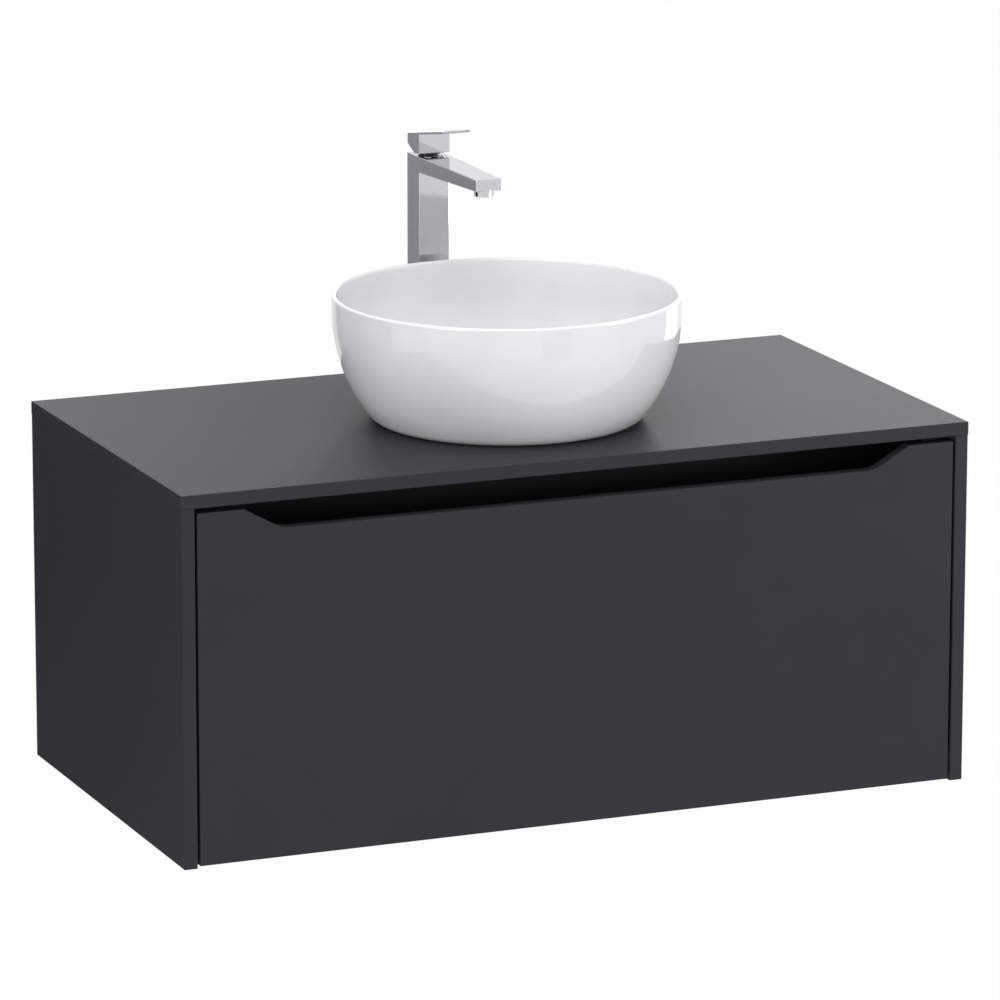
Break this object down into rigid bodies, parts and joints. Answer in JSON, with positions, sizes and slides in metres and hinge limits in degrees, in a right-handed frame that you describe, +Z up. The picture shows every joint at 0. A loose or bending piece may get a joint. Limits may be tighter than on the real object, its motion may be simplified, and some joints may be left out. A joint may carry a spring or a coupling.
{
  "type": "vessel sink on vanity",
  "caption": "Wall-hung washstand with a round vessel basin, a tall square mixer tap and a wide drawer opened by a finger pull in its front.",
  "frame": {"origin": "middle of the line of the two wall bolts, on the wall plane, 60 mm below the countertop's surface", "axes": "+X to the right seen from the front, +Y into the wall, +Z up; the front faces -Y"},
  "size_m": [1, 0.57, 0.7651],
  "materials": {
    "laminate": "matt anthracite melamine on chipboard",
    "drawer_board": "matt grey melamine on chipboard",
    "ceramic": "glossy white glaze",
    "chrome": "polished chrome on brass",
    "brass": "turned",
    "zinc": "zinc plated",
    "dark_metal": "satin anthracite lacquer",
    "dark_plastic": "moulded",
    "white_plastic": "moulded, slightly glossy",
    "rubber": "matt",
    "beech": "raw fluted beech"
  },
  "bodies": {
    "cabinet": {"aerator_housing": "chrome", "aerator_insert": "dark_plastic", "basin": "ceramic", "basin_gasket": "rubber", "cam_bolts": "zinc", "cam_locks": "zinc", "carcass_screws": "zinc", "cartridge": "dark_plastic", "cartridge_ring": "brass", "countertop": "laminate", "dowels": "beech", "front_rail": "laminate", "hanger_adjusters": "zinc", "hanger_hooks": "zinc", "hanger_housings": "zinc", "rear_rail_lower": "laminate", "rear_rail_upper": "laminate", "side_panel_left": "laminate", "side_panel_right": "laminate", "slide_outer_left": "zinc", "slide_outer_right": "zinc", "tap_body": "chrome", "tap_clamp_nut": "brass", "tap_clamp_plate": "zinc", "tap_clamp_rubber": "rubber", "tap_gasket": "rubber", "tap_stud": "brass", "top_angles": "zinc", "trap_cup": "white_plastic", "trap_head": "white_plastic", "trap_inlet_nut": "white_plastic", "trap_inlet_pipe": "white_plastic", "trap_outlet_pipe": "white_plastic", "trap_rosette": "white_plastic", "trap_unions": "white_plastic", "wall_plates": "zinc", "waste_body": "chrome", "waste_nut": "chrome", "waste_seals": "rubber"},
    "drawer": {"drawer_front": "laminate", "drawer_side_left": "drawer_board", "drawer_side_right": "drawer_board", "drawer_back": "drawer_board", "drawer_bottom": "drawer_board", "drawer_brackets": "zinc", "drawer_screws": "zinc", "gallery_rails": "dark_metal", "gallery_holders": "dark_plastic", "slide_inner_left": "zinc", "slide_inner_right": "zinc"},
    "slide_middles": {"slide_middle_left": "zinc", "slide_middle_right": "zinc"},
    "plug": {"plug_cap": "chrome", "plug_stem": "brass", "plug_seal": "rubber"},
    "handle_yoke": {"handle_yoke": "dark_plastic"},
    "handle": {"handle": "chrome", "handle_spindle": "zinc", "handle_screw": "zinc"}
  },
  "joints": [
    {"name": "drawer_slide", "type": "slide", "parent": "cabinet", "child": "drawer", "axis": [0, -1, 0], "range_m": [0, 0.42]},
    {"name": "slide_middle_slide", "type": "slide", "parent": "cabinet", "child": "slide_middles", "axis": [0, -1, 0], "range_m": [0, 0.21]},
    {"name": "plug_lift", "type": "slide", "parent": "cabinet", "child": "plug", "axis": [0, 0, 1], "range_m": [0, 0.008]},
    {"name": "handle_turn", "type": "hinge", "parent": "cabinet", "child": "handle_yoke", "pos_m": [0, -0.045, 0.35], "axis": [0, 0, 1], "range_deg": [-45, 45]},
    {"name": "handle_lift", "type": "hinge", "parent": "handle_yoke", "child": "handle", "pos_m": [0, -0.045, 0.35], "axis": [-1, 0, 0], "range_deg": [0, 25]}
  ],
  "couplings": [
    {"joint": "slide_middle_slide", "follows": "drawer_slide", "ratio": 0.5}
  ]
}
